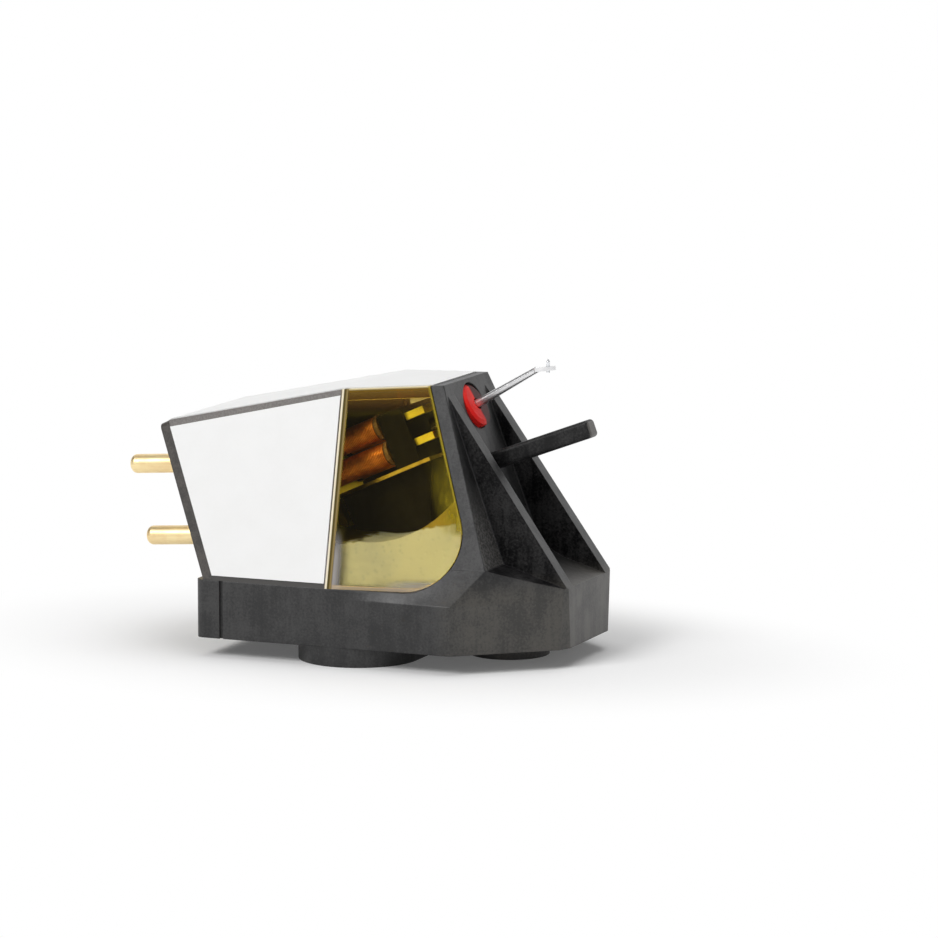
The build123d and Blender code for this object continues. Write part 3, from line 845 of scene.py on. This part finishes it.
def windingTree(look):
    tree = bpy.data.node_groups.new("windingTurns", "GeometryNodeTree")
    kinds = {"Turns": "Float", "Coil Radius": "Float", "Wire Radius": "Float", "Length": "Float",
             "Centre": "Vector", "Turn": "Vector", "Finish": "Material"}
    inputs = {}
    for label, kind in kinds.items():
        socket = tree.interface.new_socket(label, in_out="INPUT", socket_type="NodeSocket" + kind)
        inputs[label] = socket.identifier
    tree.interface.new_socket("Geometry", in_out="OUTPUT", socket_type="NodeSocketGeometry")
    given = tree.nodes.new("NodeGroupInput")
    size = {label: Tap(tree, given.outputs[label]) for label in kinds}
    sheet = Tap(tree)
    spiral = sheet.node("GeometryNodeCurveSpiral", None, {
        "Resolution": look["sidesPerTurn"], "Rotations": size["Turns"], "Height": size["Length"],
        "Start Radius": size["Coil Radius"], "End Radius": size["Coil Radius"]})
    section = sheet.node("GeometryNodeCurvePrimitiveCircle", None, {
        "Resolution": look["sidesOfWire"], "Radius": size["Wire Radius"]})
    wire = sheet.node("GeometryNodeCurveToMesh", None, {
        "Curve": spiral, "Profile Curve": section, "Fill Caps": True})
    moved = sheet.node("GeometryNodeTransform", None, {
        "Geometry": wire, "Translation": size["Centre"], "Rotation": size["Turn"]})
    smooth = sheet.node("GeometryNodeSetShadeSmooth", None, {"Geometry": moved})
    real = sheet.node("GeometryNodeRealizeInstances", None, {"Geometry": smooth})
    paint = sheet.node("GeometryNodeSetMaterial", None, {"Geometry": real, "Material": size["Finish"]})
    tree.links.new(paint.socket, tree.nodes.new("NodeGroupOutput").inputs[0])
    return tree, inputs


def asPlainMesh(name, tree, values, body, slot, *stoodFor):
    maker = addObject(name + "Maker", bpy.data.meshes.new(name + "Maker"))
    grow = maker.modifiers.new("grow", "NODES")
    grow.node_group = tree
    for key, value in values.items():
        grow[key] = value
    bpy.context.view_layer.update()
    graph = bpy.context.evaluated_depsgraph_get()
    mesh = bpy.data.meshes.new_from_object(maker.evaluated_get(graph))
    bpy.data.objects.remove(maker)
    piece = addObject(name, mesh)
    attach(piece, body)
    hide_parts(*stoodFor)


def windingAxis(node, lean):  # start, direction, length and radius of a tilted ring, from its mesh
    low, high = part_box(node)
    centre = (low + high) / 2
    axis = Vector((math.cos(math.radians(lean)), 0, math.sin(math.radians(lean))))
    reach = max((v.co - centre).dot(axis) for v in nodes[node].data.vertices)
    return centre - axis * reach, axis, reach * 2, (high.y - low.y) / 2


windTree, windInputs = windingTree(coils)
for corner in ("upper_left", "lower_left", "upper_right", "lower_right"):
    node = corner + "_winding"
    start, axis, length, radius = windingAxis(node, coils["lean"])
    wire = coils["wire"]
    asPlainMesh(corner + "_turns", windTree, {
        windInputs["Turns"]: float(coils["turns"]),
        windInputs["Coil Radius"]: radius - wire,
        windInputs["Wire Radius"]: wire,
        windInputs["Length"]: length - 2 * wire,
        windInputs["Centre"]: start + axis * wire,
        windInputs["Turn"]: (0, math.radians(90 - coils["lean"]), 0),
        windInputs["Finish"]: finishes["winding_copper"],
    }, "housing", "winding_copper", node)
print("winding turns made")


# Floor and backdrop in one sweep, white to the eye, with the part's shadow kept.
studio = {
    "half": 1.6,
    "wall": 0.9,
    "bend": 0.35,
    "steps": 16,
    "white": rgb(0.94, 0.94, 0.94),
    "shade": 0.985,
    "cloud": {"size": 0.05, "detail": 2.0},
    "rough": 0.9,
    "nearLift": 0.10,  # share of plain white that the eye gets close to the part, and far off
    "farLift": 1.0,
    "stretch": (1.5, 1, 1),  # the part is longer than it is wide
    "spread": (0.0085, 0.022),
    "ambient": 0.09,
    "horizon": (0.10, 0.22),  # glass and metal see white up to here, as a share of straight up
}


def sweepMesh(look):
    bendFrom = look["wall"] - look["bend"]
    profile = [(-look["half"], 0.0), (bendFrom, 0.0)]
    for step in range(1, look["steps"] + 1):
        angle = math.radians(90) * step / look["steps"]
        profile.append((bendFrom + math.sin(angle) * look["bend"],
                        look["bend"] - math.cos(angle) * look["bend"]))
    profile.append((look["wall"], look["half"]))
    points = [(x, y, z) for y, z in profile for x in (-look["half"], look["half"])]
    faces = [(i, i + 1, i + 3, i + 2) for i in range(0, len(points) - 2, 2)]
    mesh = bpy.data.meshes.new("sweep")
    mesh.from_pydata(points, [], faces)
    for face in mesh.polygons:
        face.use_smooth = True
    return mesh


def sweepFinish(look):
    material, shader, sheet = newFinish("sweepPaper", Roughness=look["rough"], Specular_IOR_Level=0.0)
    cloud = noise(sheet, place(sheet), **look["cloud"])
    feed(sheet, shader, Base_Color=cloud.pick(look["white"], dimmed(look["white"], look["shade"])))
    camera, glossy, through = rays(sheet, "Is Camera Ray", "Is Glossy Ray", "Is Transmission Ray")
    glow = sheet.node("ShaderNodeEmission", None, {"Color": plainWhite, "Strength": 1.0})
    apart = sheet.node("ShaderNodeVectorMath", {"operation": "LENGTH"}, {0: place(sheet, look["stretch"])}, 1)
    lift = look["nearLift"] + apart.over(*look["spread"]) * (look["farLift"] - look["nearLift"])
    seen = camera.most(glossy, through) * lift
    show(sheet, mixShaders(sheet, seen, Tap(sheet.tree, shader.outputs[0]), glow))
    material.cycles.emission_sampling = "NONE"  # it is seen, but lights nothing
    return material


def studioAir(look):
    world = bpy.data.worlds.new("studioAir")
    bpy.context.scene.world = world
    world.use_nodes = True
    sheet = Tap(world.node_tree)
    camera, glossy, through = rays(sheet, "Is Camera Ray", "Is Glossy Ray", "Is Transmission Ray")
    height = axisOf(sheet, sheet.node("ShaderNodeTexCoord"), 2)
    mirrored = glossy.most(through) * (1 - height.over(*look["horizon"]))
    dim = sheet.node("ShaderNodeBackground", None, {"Color": plainWhite, "Strength": look["ambient"]})
    white = sheet.node("ShaderNodeBackground", None, {"Color": plainWhite, "Strength": 1.0})
    show(sheet, mixShaders(sheet, camera.most(mirrored), dim, white), output="World Output")


sweep = addObject("sweep", sweepMesh(studio))
sweep.data.materials.append(sweepFinish(studio))
studioAir(studio)
print("sweep and air set")


lamps = {
    "top": {"at": (0.05, 0.08, 0.60), "wide": 0.50, "high": 0.50, "power": 1.7},
    "near": {"at": (-0.20, -0.46, 0.44), "wide": 0.34, "high": 0.30, "power": 2.7},
    "side": {"at": (0.55, -0.40, 0.30), "wide": 0.40, "high": 0.30, "power": 0.35},
}
shot = {"turn": 22.683, "rise": 8.636, "away": 0.300, "lens": 186.8, "nearest": 0.01}
aim = Vector((0.0043, 0, 0.0113))  # lamps and camera point here


def softLamp(name, look, target):
    lamp = bpy.data.lights.new(name, "AREA")
    lamp.shape = "RECTANGLE"
    lamp.size = look["wide"]
    lamp.size_y = look["high"]
    lamp.energy = look["power"]
    holder = addObject(name, lamp)
    holder.location = look["at"]
    holder.rotation_euler = (target - holder.location).to_track_quat("-Z", "Y").to_euler()


def lookFrom(look, target):
    camera = addObject("camera", bpy.data.cameras.new("camera"))
    turn, rise = math.radians(look["turn"]), math.radians(look["rise"])
    back = Vector((math.sin(turn) * math.cos(rise), -math.cos(turn) * math.cos(rise), math.sin(rise)))
    camera.location = target + back * look["away"]
    camera.rotation_euler = (-back).to_track_quat("-Z", "Y").to_euler()
    camera.data.lens = look["lens"]
    camera.data.clip_start = look["nearest"]
    bpy.context.scene.camera = camera


for lampName, lampLook in lamps.items():
    softLamp(lampName, lampLook, aim)
lookFrom(shot, aim)
bpy.context.scene.view_settings.view_transform = "Standard"
print("camera and lamps set")
